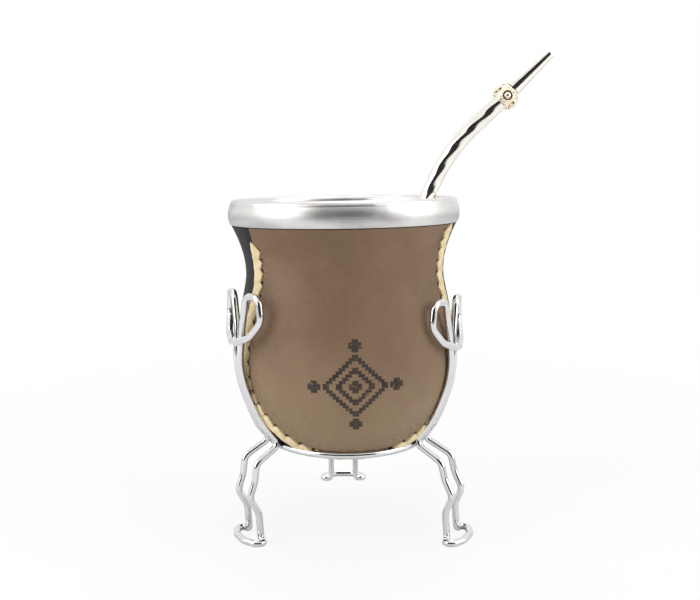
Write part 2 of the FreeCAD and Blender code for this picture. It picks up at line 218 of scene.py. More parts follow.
class Sheet:
    """One material and its nodes."""

    def __init__(self, name):
        self.material = bpy.data.materials.new(name)
        self.material.use_nodes = True
        self.nodes = self.material.node_tree.nodes
        self.links = self.material.node_tree.links
        self.nodes.clear()

    def node(self, kind, settings=None, inputs=None):
        node = self.nodes.new(kind)
        for key, value in (settings or {}).items():
            setattr(node, key, value)
        for key, value in (inputs or {}).items():
            if isinstance(value, Number):
                self.links.new(value.socket, node.inputs[key])
            elif isinstance(value, bpy.types.NodeSocket):
                self.links.new(value, node.inputs[key])
            else:
                node.inputs[key].default_value = value
        return node

    def number(self, kind, settings=None, inputs=None, output=0):
        return Number(self, self.node(kind, settings, inputs).outputs[output])

    def mm(self, centre=(0, 0, 0), turn=(0, 0, 0)):
        """Object coordinates in millimetres from a centre, turned with a pattern."""
        coords = self.node("ShaderNodeTexCoord").outputs["Object"]
        inputs = {"Vector": coords, "Location": centre, "Rotation": turn, "Scale": (MM, MM, MM)}
        return self.node("ShaderNodeMapping", {"vector_type": "TEXTURE"}, inputs).outputs[0]

    def axes(self, vector):
        split = self.node("ShaderNodeSeparateXYZ", None, {0: vector})
        return [Number(self, output) for output in split.outputs]

    def attribute(self, name):
        return self.number("ShaderNodeAttribute", {"attribute_name": name}, None, "Fac")

    def stretch(self, vector, factors):
        inputs = {0: vector, 1: factors}
        return self.node("ShaderNodeVectorMath", {"operation": "MULTIPLY"}, inputs).outputs[0]

    def noise(self, vector, size, detail=3.0, rough=0.5, bend=0.0):
        """Soft noise whose blotches are about size millimetres across, from 0 to 1."""
        inputs = {"Vector": vector, "Scale": 1 / size, "Detail": detail, "Roughness": rough,
                  "Distortion": bend}
        return self.number("ShaderNodeTexNoise", None, inputs, "Fac")

    def cells(self, vector, size, feature="DISTANCE_TO_EDGE"):
        inputs = {"Vector": vector, "Scale": 1 / size}
        return self.number("ShaderNodeTexVoronoi", {"feature": feature}, inputs, "Distance")

    def blend(self, factor, first, second):
        """A colour that goes from first to second as factor goes from 0 to 1."""
        colours = [c if isinstance(c, bpy.types.NodeSocket) else (*c, 1) for c in (first, second)]
        inputs = dict(zip(MIX_COLOUR_INPUTS, (factor, *colours)))
        return self.node("ShaderNodeMix", {"data_type": "RGBA"}, inputs).outputs[MIX_COLOUR_OUTPUT]

    def bump(self, height, depth, normal=None):
        """Relief from a 0 to 1 height, depth in millimetres."""
        inputs = {"Height": height, "Distance": depth * MM, "Strength": 1.0}
        if normal is not None:
            inputs["Normal"] = normal
        return self.node("ShaderNodeBump", None, inputs).outputs[0]

    def finish(self, **sockets):
        """Ends the material in a Principled shader with these sockets."""
        names = {key.replace("_", " ").title().replace("Ior", "IOR"): v for key, v in sockets.items()}
        for key, value in names.items():
            if key == "Base Color" and isinstance(value, tuple):
                names[key] = (*value, 1)
        shader = self.node("ShaderNodeBsdfPrincipled", None, names)
        self.node("ShaderNodeOutputMaterial", None, {"Surface": shader.outputs[0]})
        return self.material


def dress(piece, material):
    """Puts one material in every slot of a piece."""
    piece.data.materials.clear()
    piece.data.materials.append(material)
    print(f"{piece.name} wears {material.name}: {len(material.node_tree.nodes)} nodes")

# %% [markdown]
# ## The stage
#
# A shadow-keeping pale floor, a white surround and soft light from both sides, as for a
# catalogue picture. Bright metal shows what stands round it, so one wide dark card hangs
# behind the camera and a narrow one on each side, all out of its sight: they draw the dark
# stripes along every rod and tube. The camera stands level with the rim and looks slightly
# down.

# %% Camera
CAMERA_BACK = 340 * MM
CAMERA_OVER_CREST = 8.6 * MM
CAMERA_PITCH = radians(8.08)
CAMERA_ASIDE = 1.54 * MM
LENS = 44.82

camera_z = crest_z + CAMERA_OVER_CREST
bpy.ops.object.camera_add(
    location=(axis.x + CAMERA_ASIDE, axis.y - CAMERA_BACK, camera_z),
    rotation=(radians(90) - CAMERA_PITCH, 0, 0))
camera = adopt("camera")
camera.data.lens = LENS
camera.data.clip_start = 0.01
bpy.context.scene.camera = camera
bpy.context.scene.view_settings.view_transform = "Standard"
print("camera", [round(v / MM, 1) for v in camera.location], "mm, lens", LENS)

# %% Lamps
def area_light(name, place, size, power, aim=(0, 0, 0.07)):
    """A soft lamp that points at the object."""
    direction = Vector(aim) - Vector(place)
    turn = direction.to_track_quat("-Z", "Y").to_euler()
    bpy.ops.object.light_add(type="AREA", location=place, rotation=turn)
    lamp = adopt(name)
    lamp.data.shape = "RECTANGLE"
    lamp.data.size, lamp.data.size_y = size
    lamp.data.energy = power


area_light("lamp_left", (-0.62, -0.30, 0.42), (0.5, 0.6), 2.7)
area_light("lamp_right", (0.66, -0.22, 0.40), (0.5, 0.6), 2.5)
area_light("lamp_top", (0.0, 0.15, 0.75), (0.5, 0.4), 1.5)

# %% Floor
FLOOR_GLOW = 0.84
WHITE_FROM, WHITE_BY = 120, 420
bpy.ops.mesh.primitive_plane_add(size=6, location=(0, 0, 0))
floor = adopt("floor")
floor_sheet = Sheet("white_floor")
floor_x, floor_y, _ = floor_sheet.axes(floor_sheet.mm())
distance = (floor_x * floor_x + floor_y * floor_y).call("SQRT")
far = distance.ease(WHITE_FROM, WHITE_BY)
paint = floor_sheet.node("ShaderNodeBsdfDiffuse", None, {"Color": (0.93, 0.93, 0.935, 1)})
glow = floor_sheet.node("ShaderNodeEmission", None, {"Color": (1, 1, 1, 1), "Strength": 1.0})
rays = floor_sheet.node("ShaderNodeLightPath")
seen = Number(floor_sheet, rays.outputs["Is Camera Ray"])
lift = seen * (FLOOR_GLOW + far * (1 - FLOOR_GLOW))
shaders = {0: lift, 1: paint.outputs[0], 2: glow.outputs[0]}
mixed = floor_sheet.node("ShaderNodeMixShader", None, shaders)
floor_sheet.node("ShaderNodeOutputMaterial", None, {"Surface": mixed.outputs[0]})
dress(floor, floor_sheet.material)

# %% Dark cards
card_sheet = Sheet("black_card")
card_tone = card_sheet.noise(card_sheet.mm(), 160)
card_black = card_sheet.blend(card_tone, (0.010, 0.009, 0.010), (0.03, 0.03, 0.03))
card_paint = card_sheet.finish(base_color=card_black, roughness=0.9)


def dark_card(name, place, width, height):
    """A black card that only shows in shiny things; it hides no light."""
    turn = math.atan2(place[0], -place[1])
    bpy.ops.mesh.primitive_plane_add(size=1, location=place, rotation=(radians(90), 0, turn))
    card = adopt(name)
    card.scale = (width, height, 1)
    card.visible_camera = card.visible_diffuse = card.visible_shadow = False
    dress(card, card_paint)


dark_card("card_front", (0.02, -0.95, 0.20), 1.5, 1.3)
dark_card("card_left", (-1.1, -0.35, 0.25), 0.22, 1.2)
dark_card("card_right", (1.1, -0.35, 0.25), 0.22, 1.2)

# %% White surround
WORLD_LIGHT = 0.6
world = bpy.data.worlds.new("white_surround")
bpy.context.scene.world = world
world.use_nodes = True
world_nodes = world.node_tree.nodes
world_nodes.clear()
world_rays = world_nodes.new("ShaderNodeLightPath")
lighting = world_nodes.new("ShaderNodeBackground")
lighting.inputs["Strength"].default_value = WORLD_LIGHT
backdrop = world_nodes.new("ShaderNodeBackground")
backdrop.inputs["Color"].default_value = (1, 1, 1, 1)
world_mix = world_nodes.new("ShaderNodeMixShader")
world_out = world_nodes.new("ShaderNodeOutputWorld")
any_ray = world_nodes.new("ShaderNodeMath")
any_ray.operation = "MAXIMUM"
link = world.node_tree.links.new
link(world_rays.outputs["Is Camera Ray"], any_ray.inputs[0])
link(world_rays.outputs["Is Glossy Ray"], any_ray.inputs[1])
link(any_ray.outputs[0], world_mix.inputs[0])
link(lighting.outputs[0], world_mix.inputs[1])
link(backdrop.outputs[0], world_mix.inputs[2])
link(world_mix.outputs[0], world_out.inputs[0])

# %% [markdown]
# ## Leather
#
# A real one is made by soaking a piece of thin hide, stretching it over the gourd and lacing
# it up while wet, so it dries drum-tight and every dent shows. The front is one brown panel,
# the rest of the cup is covered in black hide, and the two meet in a U-shaped seam. Here the
# cup's outline is drawn once as a Bezier curve, turned into a line of edges and spun round
# the axis, as on a potter's wheel. The seam is a curve on that skin: each vertex is told how
# far along it and how far from it it lies, and everything sewn follows those two numbers.

# %% Outline of the cup
OUTLINE = [
    (0, 0, (1, 0)),
    (28.6, 3.9, (4, 3)),
    (37.9, 17.4, (4, 9)),
    (42.8, 36.2, (0, 1)),
    (40.0, 60.2, (-2, 10)),
    (38.4, 70.2, (0, 1)),
    (43.4, 88.2, (4, 8)),
]


def drawn_profile(name, stations, resolution=12):
    """A line of edges in the XZ plane through (r, z, heading) stations in millimetres."""
    bpy.ops.curve.primitive_bezier_curve_add(enter_editmode=False, location=(0, 0, 0))
    piece = adopt(name)
    spline = piece.data.splines[0]
    spline.bezier_points.add(len(stations) - len(spline.bezier_points))
    spline.resolution_u = resolution
    places = [Vector((r, 0, z)) * MM for r, z, _ in stations]
    for index, point in enumerate(spline.bezier_points):
        heading = Vector((stations[index][2][0], 0, stations[index][2][1])).normalized()
        before = places[max(index - 1, 0)]
        after = places[min(index + 1, len(places) - 1)]
        point.co = places[index]
        point.handle_left_type = point.handle_right_type = "FREE"
        point.handle_left = point.co - heading * (point.co - before).length / 3
        point.handle_right = point.co + heading * (after - point.co).length / 3
    select_only(piece)
    bpy.ops.object.convert(target="MESH")
    return adopt(name)


def spun(piece, steps=240):
    """Spins a profile once round the Z axis and closes it at the seam and the poles."""
    start_edit(piece, "SELECT")
    bpy.ops.mesh.spin(steps=steps, angle=2 * math.pi, center=(0, 0, 0), axis=(0, 0, 1))
    bpy.ops.mesh.select_all(action="SELECT")
    bpy.ops.mesh.remove_doubles(threshold=0.00001)
    bpy.ops.mesh.normals_make_consistent(inside=False)
    end_edit()
    return piece


skin = drawn_profile("skin", OUTLINE, 20)
outline_points = sorted((v.co.z, v.co.x) for v in skin.data.vertices)


def outline_r(height):
    """Outer radius of the leather at a height above the cup's lowest point."""
    low = outline_points[0]
    for high in outline_points[1:]:
        if height <= high[0]:
            share = (height - low[0]) / max(high[0] - low[0], 1e-9)
            return low[1] + (high[1] - low[1]) * share
        low = high
    return low[1]


for name, at_height in (("belly", BELLY_H), ("neck", NECK_H)):
    print(name, "radius", round(outline_r(at_height) / MM, 2), "mm")

# %% The seam's line
SEAM_MOUTH_DEG = 55.4
SEAM_NECK_DEG = 58.0
SEAM_BELLY_DEG = 65.0
SEAM_BOTTOM_H = 5.2 * MM
SEAM_POWER = 2.4
LACE_W = 4.2 * MM


def seam_angle(height, spread):
    """Half the angle that the front panel takes up at a height, widened by spread."""
    bottom = SEAM_BOTTOM_H - spread
    if height >= NECK_H:
        share = (height - NECK_H) / (MOUTH_H - NECK_H)
        angle = SEAM_NECK_DEG + (SEAM_MOUTH_DEG - SEAM_NECK_DEG) * share
    elif height >= BELLY_H:
        share = (height - BELLY_H) / (NECK_H - BELLY_H)
        angle = SEAM_BELLY_DEG + (SEAM_NECK_DEG - SEAM_BELLY_DEG) * share * share * (3 - 2 * share)
    else:
        fall = min(1.0, (BELLY_H - height) / (BELLY_H - bottom))
        angle = SEAM_BELLY_DEG * (1 - fall ** SEAM_POWER) ** (1 / SEAM_POWER)
    return angle + math.degrees(spread / outline_r(height)) * min(1.0, angle / 20)


def half_seam(spread, steps):
    """Points up the right half of the seam, from under the belly to the rim."""
    bottom = SEAM_BOTTOM_H - spread
    points = []
    for step in range(steps + 1):
        height = bottom + (MOUTH_H - bottom) * (step / steps) ** 2
        angle = radians(seam_angle(height, spread))
        r = outline_r(height)
        points.append(Vector((r * sin(angle), -r * cos(angle), height)))
    return points


def evenly(points, gap):
    """The same line with points at equal steps along it."""
    spaced = [points[0]]
    left = gap
    for start, end in zip(points, points[1:]):
        length = (end - start).length
        while left <= length:
            spaced.append(start.lerp(end, left / length))
            left += gap
        left -= length
    return spaced


def on_skin(point):
    """The nearest place at that height on the leather's outer face."""
    flat = Vector((point.x, point.y, 0)).normalized() * outline_r(point.z)
    return Vector((flat.x, flat.y, point.z))


SEAM_STEP = 0.25 * MM
right_half = half_seam(LACE_W / 2, 900)
left_half = [Vector((-p.x, p.y, p.z)) for p in reversed(right_half[1:])]
cup_turn = Matrix.Rotation(CUP_TURN, 4, "Z")
seam = [cup_turn @ p for p in evenly(left_half + right_half, SEAM_STEP)]
seam_tree = KDTree(len(seam))
for index, point in enumerate(seam):
    seam_tree.insert(point, index)
seam_tree.balance()
seam_length = len(seam) * SEAM_STEP
print("seam length", round(seam_length / MM, 1), "mm")

# %% Places beside the seam
def skin_normal(point):
    """Outward direction of the leather at a place on it."""
    step = 0.5 * MM
    rise = outline_r(point.z + step) - outline_r(max(point.z - step, 0))
    run = point.z + step - max(point.z - step, 0)
    flat = Vector((point.x, point.y, 0)).normalized()
    return Vector((flat.x * run, flat.y * run, -rise)).normalized()


def on_seam(along, across, out):
    """Place at a distance along the seam, outward across it from the panel, and off the skin."""
    near = 6
    index = min(max(int(along / SEAM_STEP), near), len(seam) - near - 1)
    tangent = (seam[index + near] - seam[index - near]).normalized()
    base = seam[index] + tangent * (along - index * SEAM_STEP)
    normal = skin_normal(base)
    sideways = tangent.cross(normal).normalized()
    spot = on_skin(base + sideways * across)
    return spot + skin_normal(spot) * out


def seam_place(point):
    """Distance along the seam and signed distance from it, outward from the panel positive."""
    _, index, distance = seam_tree.find(point)
    low, high = max(index - 2, 0), min(index + 2, len(seam) - 1)
    tangent = (seam[high] - seam[low]).normalized()
    sideways = tangent.cross(skin_normal(seam[index]))
    return index * SEAM_STEP, math.copysign(distance, (point - seam[index]).dot(sideways))


foot_of_u = on_seam(seam_length / 2, 2 * MM, 0)
print("outward at the foot of the U:", [round(v / MM, 2) for v in foot_of_u])

# %% [markdown]
# The skin is spun finely enough to take creases in the mesh. Wet hide pulled by the lacing
# puckers between the holes, so short folds run in from the seam and fade out, longest low on
# the left. A few shallow dents stay where the gourd under it is dented.

# %% Where each stitch goes
LACING_STARTS = (7.5 * MM, 1.5 * MM)
TOP_STITCH, STITCH_GROWTH, GROWN_BY = 3.8, 1.8, 45 * MM


def stitch_starts(top_gap):
    """Distances down one side of the seam at which its stitches begin, wider further down."""
    starts = [top_gap]
    while starts[-1] < seam_length / 2:
        grown = STITCH_GROWTH * min(1.0, starts[-1] / GROWN_BY)
        pitch = TOP_STITCH + grown + 0.35 * sin(starts[-1] / MM * 0.9)
        starts.append(starts[-1] + pitch * MM)
    return starts


stitches = [stitch_starts(gap) for gap in LACING_STARTS]


def stitch_phase(along):
    """Which stitch a place on the seam belongs to, and how far through it the place is."""
    right = along > seam_length / 2
    down = seam_length - along if right else along
    starts = stitches[1 if right else 0]
    if down < starts[0]:
        return -1.0
    number = max(i for i, start in enumerate(starts) if start <= down)
    if number + 1 == len(starts):
        return float(number)
    return number + (down - starts[number]) / (starts[number + 1] - starts[number])


print("stitches", len(stitches[0]) - 1, "left,", len(stitches[1]) - 1, "right")

# %% Dents and puckers
spun(skin, 320)
HIDE = 1.1 * MM


def dent(point, centre, size, depth):
    """A shallow round hollow's share of the depth at a point."""
    away = (point - Vector(centre) * MM).length / (size * MM)
    return depth * MM * math.exp(-away * away)


def pucker(point, along, across):
    """How far a place on the hide is pushed out by folds, stitches and dents.

    Folds run furthest from the seam low on the left, a groove lies along each edge of the
    lace, and all of it fades out at the mouth, where the metal rim holds the hide.
    """
    reach = 4.5 + 5 * math.exp(-((along / seam_length - 0.36) / 0.1) ** 2)
    fade = math.exp(-abs(across) / MM / reach)
    folds = cos(2 * math.pi * stitch_phase(along) + 0.2 * across / MM)
    wander = sin(along / MM * 0.31 + across / MM * 0.11)
    out = (0.15 * folds + 0.10 * wander) * fade * MM
    out -= 0.25 * MM * math.exp(-((abs(across) - LACE_W / 2) / (1.0 * MM)) ** 2)
    out -= dent(point, (-20, -36, 47), 9, 0.3) + dent(point, (17, -38, 60), 8, 0.25)
    out -= dent(point, (6, 42, 52), 12, 0.4) + dent(point, (-39, 14, 30), 9, 0.3)
    return out * (1.0 - math.exp(-((MOUTH_H - point.z) / (2.5 * MM)) ** 2))

# %% Cutting and tanning one hide
def border(piece):
    """Numbers of the vertices on a sheet's open edge."""
    uses = {}
    for polygon in piece.data.polygons:
        for key in polygon.edge_keys:
            uses[key] = uses.get(key, 0) + 1
    return {vertex for key, count in uses.items() if count == 1 for vertex in key}


def cut_hide(name, keep, edge):
    """One hide from the skin: the faces to keep, its edge drawn to a line beside the seam."""
    piece = copy_of(skin, name)
    for polygon in piece.data.polygons:
        polygon.select = False
    start_edit(piece)
    bpy.ops.mesh.select_mode(type="FACE")
    end_edit()
    for polygon in piece.data.polygons:
        polygon.select = not keep(*seam_place(polygon.center))
    bpy.ops.object.mode_set(mode="EDIT")
    bpy.ops.mesh.delete(type="FACE")
    end_edit()
    rim_edge = MOUTH_H - 0.01 * MM
    for index in border(piece):
        vertex = piece.data.vertices[index]
        along, _ = seam_place(vertex.co)
        if vertex.co.z < rim_edge:
            vertex.co = on_seam(along, edge, 0)
    return piece


def tan_hide(piece, raised):
    """Stores each vertex's stitch and distance from the seam, then puckers and thickens it."""
    places = [seam_place(vertex.co) for vertex in piece.data.vertices]
    stitch = piece.data.attributes.new("stitch", "FLOAT", "POINT")
    across = piece.data.attributes.new("across", "FLOAT", "POINT")
    stitch.data.foreach_set("value", [stitch_phase(along) for along, _ in places])
    across.data.foreach_set("value", [away / MM for _, away in places])
    for vertex, (along, away) in zip(piece.data.vertices, places):
        if vertex.co.z > 0.5 * MM:
            out = pucker(vertex.co, along, away) + raised(away)
            vertex.co += skin_normal(vertex.co) * out
    apply_modifier(piece, "SOLIDIFY", thickness=HIDE, offset=-1.0)
    settle(piece, cup_place)
    report(piece)


# %% Brown panel and black side leather
UNDERLAP = 1.5 * MM
TUCKED_IN = 0.55 * MM


def under_panel(across):
    """The black hide's edge dips under the panel and comes up beside it."""
    return -TUCKED_IN * math.exp(-(max(across, 0) / UNDERLAP) ** 2)


panel = cut_hide("front_panel", lambda along, across: across < 0, 0.0)
tan_hide(panel, lambda across: 0.0)
side_leather = cut_hide("side_leather", lambda along, across: across > -UNDERLAP, -UNDERLAP)
tan_hide(side_leather, under_panel)
select_only(skin)
bpy.ops.object.delete()

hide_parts("leather_front")
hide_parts("leather_back")
for piece in (panel, side_leather):
    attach(piece, "root")

# %% [markdown]
# ## Lacing
#
# The seam is whipped with one long strip of rawhide. Each stitch comes up on the black side,
# crosses the seam on a slant and dives into a punched hole in the brown panel, and as it
# dries it sets hard and slightly domed. On the outer side the turns lie on each other and
# make one smooth edge; on the panel they narrow to teeth with a dark hole between them. One
# stitch is modelled from a block and laid along the seam again and again.

# %% One stitch
bpy.ops.mesh.primitive_cube_add(size=1)
stitch_block = adopt("stitch_block")
start_edit(stitch_block, "SELECT")
bpy.ops.mesh.subdivide(number_cuts=7)
end_edit()


def sewn(point, start, pitch, seat):
    """Place on the cup of a point of the stitch block.

    Along its x a stitch crosses the seam, from the black side to its hole in the panel. It
    narrows on the way, slants downward, is domed across its width and sinks at both ends.
    """
    cross = point.x + 0.5
    wide = 2 * point.y
    reach = pitch * (0.66 - 0.34 * cross ** 2)
    down = start + pitch * (0.30 + 0.40 * cross) + wide * reach
    across = (2.1 - 4.6 * cross + 0.5 * wide * cross) * MM
    dome = (1 - wide ** 4) * max(0.0, sin(math.pi * (0.10 + 0.86 * cross))) ** 0.5
    top = (0.30 + 0.62 * dome + 0.22 * wide * (1 - 0.5 * cross)) * MM
    out = -0.25 * MM + (top + 0.25 * MM) * (point.z + 0.5)
    return seat(down, across, out)


def left_side(down, across, out):
    return on_seam(down, across, out)


def right_side(down, across, out):
    return on_seam(seam_length - down, across, out)


def lay_stitch(start, end, seat, number):
    piece = copy_of(stitch_block, f"stitch_{number}")
    # The edge value is high at a stitch's sides and ends, where the rawhide finish paints shade.
    edge = piece.data.attributes.new("edge", "FLOAT", "POINT")
    corners = [v.co for v in piece.data.vertices]
    edge.data.foreach_set("value", [max(abs(2 * co.y), abs(2 * co.x) ** 3) for co in corners])
    move_points(piece, lambda co: sewn(co, start, end - start, seat))
    return piece


laid = []
for seat, starts in zip((left_side, right_side), stitches):
    for start, end in zip(starts, starts[1:]):
        laid.append(lay_stitch(start, end, seat, len(laid)))
print(len(laid), "stitches laid")

# %% The lace's smooth outer edge
bpy.ops.mesh.primitive_grid_add(x_subdivisions=420, y_subdivisions=6, size=1)
lace_edge = adopt("lace_edge")
END_GAP = 0.6 * MM
start_lace = LACING_STARTS[0] + END_GAP
end_lace = seam_length - LACING_STARTS[1] - END_GAP


def lace_edge_place(point):
    along = start_lace + (point.x + 0.5) * (end_lace - start_lace)
    across = (1.15 + 1.9 * point.y) * MM
    dome = math.sqrt(max(0.0, 1 - (2 * point.y) ** 2))
    rope = 0.12 * cos(2 * math.pi * stitch_phase(along))
    return on_seam(along, across, (0.1 + (0.45 + rope) * dome) * MM)


# Painted shade goes along the outer lace's edges, where this edge value is high.
edge_shade = lace_edge.data.attributes.new("edge", "FLOAT", "POINT")
edge_shade.data.foreach_set(
    "value", [0.6 + 0.4 * abs(2 * v.co.y) for v in lace_edge.data.vertices])
move_points(lace_edge, lace_edge_place)
apply_modifier(lace_edge, "SOLIDIFY", thickness=0.4 * MM, offset=-1.0)
lacing = join(laid + [lace_edge], "rawhide_lacing")
start_edit(lacing, "SELECT")
bpy.ops.mesh.normals_make_consistent(inside=False)
end_edit()
settle(lacing, cup_place)
select_only(lacing)
bpy.ops.object.shade_smooth_by_angle(angle=radians(60))
report(lacing)
select_only(stitch_block)
bpy.ops.object.delete()
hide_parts("lacing")
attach(lacing, "root")

# %% [markdown]
# ## Straw
#
# The straw is a plain tube twisted while hot, which leaves shallow spiral flutes, then bent
# over a former. A grid of points is rolled into a tube along the bend's own line: straight
# up out of the drink, round an arc, and straight again into the collar. The collar is cast
# and soldered on, with a beaded flower on each of its four sides.

# %% The straw's line
STRAW_X, STRAW_Y = 31.8 * MM, 4.0 * MM
STRAW_LEAN, STRAW_TOP_LEAN = radians(18.7), radians(46.3)
STRAW_BEND_R = 65.7 * MM
STRAW_RISE = 0.5 * MM
STRAW_R = 3.1 * MM
STRAIGHT_L = 14.2 * MM
COLLAR_L = 7.0 * MM
straw_cross = Vector((axis.x + STRAW_X, axis.y + STRAW_Y, crest_z))
bend_length = STRAW_BEND_R * (STRAW_TOP_LEAN - STRAW_LEAN)
collar_start = STRAW_RISE + bend_length + STRAIGHT_L


def straw_heading(lean):
    return Vector((sin(lean), 0, cos(lean)))


def straw_at(distance):
    """Centre and heading at a distance up the straw from where it passes the rim's crest."""
    start = straw_cross + straw_heading(STRAW_LEAN) * STRAW_RISE
    centre = start + Vector((cos(STRAW_LEAN), 0, -sin(STRAW_LEAN))) * STRAW_BEND_R
    lean = STRAW_LEAN + min(max(distance - STRAW_RISE, 0), bend_length) / STRAW_BEND_R
    spot = centre - Vector((cos(lean), 0, -sin(lean))) * STRAW_BEND_R
    beyond = max(distance - STRAW_RISE - bend_length, 0) + min(distance - STRAW_RISE, 0)
    heading = straw_heading(lean)
    return spot + heading * beyond, heading


def on_straw(distance, angle, r):
    spot, heading = straw_at(distance)
    sideways = Vector((0, 1, 0))
    forward = sideways.cross(heading)
    return spot + (sideways * sin(angle) + forward * cos(angle)) * r


print("straw bends over", round(bend_length / MM, 1), "mm of its length")

# %% Fluted tube
FLUTES = 4
FLUTE_DEPTH = 0.12 * MM
TWIST_LENGTH = 37 * MM
TUBE_FOOT = -75 * MM
bpy.ops.mesh.primitive_grid_add(x_subdivisions=320, y_subdivisions=72, size=1)
tube = adopt("fluted_tube")


def rolled(point):
    distance = TUBE_FOOT + (point.x + 0.5) * (collar_start + 0.5 * MM - TUBE_FOOT)
    angle = 2 * math.pi * (point.y + 0.5)
    twist = FLUTES * (angle - 2 * math.pi * distance / TWIST_LENGTH)
    flute = FLUTE_DEPTH * (0.5 - 0.5 * cos(twist))
    return on_straw(distance, angle, STRAW_R - flute)


move_points(tube, rolled)
start_edit(tube, "SELECT")
bpy.ops.mesh.remove_doubles(threshold=0.00001)
bpy.ops.mesh.select_all(action="DESELECT")
bpy.ops.mesh.select_non_manifold()
bpy.ops.mesh.edge_face_add()
bpy.ops.mesh.select_all(action="SELECT")
bpy.ops.mesh.normals_make_consistent(inside=False)
end_edit()
settle(tube)
report(tube)
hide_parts("straw_tube")
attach(tube, "root")

# %% [markdown]
# ## Collar
#
# A real one is a small brass casting: a barrel with a bead border at both ends and a flower
# on each of its four sides. The barrel is turned from a profile. One flower is built from a
# bevelled disc, a flattened ball and a ring of beads, and is then set round it four times.

# %% One flower of the collar
bpy.ops.mesh.primitive_uv_sphere_add(segments=16, ring_count=10, radius=0.46 * MM)
bead = adopt("bead")


def beads_round(centre, r, count, facing):
    """A ring of beads about a centre, in the plane that a matrix faces."""
    ring = []
    for step in range(count):
        angle = 2 * math.pi * step / count
        piece = copy_of(bead, "ring_bead")
        spot = centre + facing @ Vector((r * cos(angle), r * sin(angle), 0))
        piece.data.transform(Matrix.Translation(spot))
        ring.append(piece)
    return ring


def cast_flower(turn):
    """Disc, beaded border and domed middle, facing out from the collar."""
    out = Matrix.Rotation(turn, 4, "Z") @ Matrix.Rotation(radians(90), 4, "X")
    middle = Vector((0, 0, COLLAR_L / 2))
    seat = Matrix.Translation(middle) @ out
    bpy.ops.mesh.primitive_cylinder_add(vertices=40, radius=2.35 * MM, depth=1.6 * MM)
    disc = adopt("flower_disc")
    apply_modifier(disc, "BEVEL", width=0.3 * MM, segments=3)
    disc.data.transform(seat @ Matrix.Translation((0, 0, 3.5 * MM)))
    bpy.ops.mesh.primitive_uv_sphere_add(segments=28, ring_count=16, radius=1.25 * MM)
    dome = adopt("flower_dome")
    face = Vector((0, 0, 4.25 * MM))
    dome.data.transform(seat @ Matrix.Translation(face) @ Matrix.Diagonal((1, 1, 0.72, 1)))
    border_ring = beads_round(seat @ face, 2.2 * MM, 13, out.to_3x3())
    return [disc, dome] + border_ring


# %% Barrel and whole collar
core = drawn_profile("collar_core", [
    (2.9, 0, (1, 0)),
    (3.75, 0.5, (0, 1)),
    (4.1, 3.5, (0, 1)),
    (3.75, 6.5, (0, 1)),
    (2.9, 7, (-1, 0)),
])
spun(core, 48)
parts = [core]
for quarter in range(4):
    parts += cast_flower(radians(90 * quarter))
for height in (0.7 * MM, 6.3 * MM):
    parts += beads_round(Vector((0, 0, height)), 3.75 * MM, 20, Matrix.Identity(3))
collar = join(parts, "flower_collar")
select_only(bead)
bpy.ops.object.delete()
collar_spot, collar_heading = straw_at(collar_start)
lean_over = Matrix.Rotation(STRAW_TOP_LEAN, 4, "Y")
settle(collar, Matrix.Translation(collar_spot) @ lean_over)
report(collar)
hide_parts("straw_collar")
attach(collar, "root")

# %% [markdown]
# ## The drink
#
# Mate is dried leaf and stem, filled in as a bank against one side. Water is poured down the
# other side, where the straw stands, so the bank stays dry on top and the drink there is
# olive green with a little froth. The bank's body is one solid with the grain of the leaf
# in its surface; chopped leaf and bits of stem lie loose on it.

# %% Shape of the bank and the gourd's inside
from mathutils import noise

GOURD_WALL = 6.4 * MM
INTO_WALL = 0.35 * MM
LEVEL = crest_z - 15.0 * MM
BANK_TOP = crest_z - 12 * MM
BANK_FOOT, BANK_RISE = -25, 17
BANK_SHIFT, BANK_SLOPE, BANK_WIDTH = 4, 0.62, 32.0
WAVES = [(0.7, 0.45, 1.1, 0.38, -0.4), (0.35, 0.9, 0.3, 0.7, 0.9)]
GRAINS = [(0.55, 0.55), (0.4, 1.3), (0.25, 2.6)]


def heap_z(x, y):
    """Height of the bank's top at a place measured from the cup's axis."""
    x, y = x / MM, y / MM
    share = min(1.0, max(0.0, 0.5 - BANK_SLOPE * (x + BANK_SHIFT) / BANK_WIDTH))
    bank = BANK_FOOT + BANK_RISE * share * share * (3 - 2 * share)
    waves = sum(high * sin(a * x + b) * sin(c * y + d) for high, a, b, c, d in WAVES)
    return crest_z + (bank + waves) * MM


def grain(x, y):
    """Fine relief of packed leaf."""
    spot = Vector((x, y, 0)) / MM
    return sum(depth * noise.noise(spot * pitch) for depth, pitch in GRAINS) * MM


def wall_centre(z):
    """The leaning cup's middle at a height."""
    return axis.x - (z - belly_centre.z) * math.tan(CUP_TILT)


def wall_r(z):
    """Radius of the gourd's inside, taken just into its wall."""
    return outline_r(z - cup_bottom) - GOURD_WALL + INTO_WALL


print("drink's level", round(LEVEL / MM, 1), "mm, inside radius", round(wall_r(LEVEL) / MM, 1), "mm")

# %% The bank of yerba
# A grid is rolled into a solid: its first rows make the top, from the middle out, the next
# ones the side and the last ones the floor.
FLOOR_Z = cup_bottom + 6.2 * MM
ROUND, RINGS, TOP_SHARE, SIDE_SHARE = 200, 120, 0.75, 0.8
bpy.ops.mesh.primitive_grid_add(x_subdivisions=ROUND, y_subdivisions=RINGS, size=1)
heap = adopt("yerba_bank")


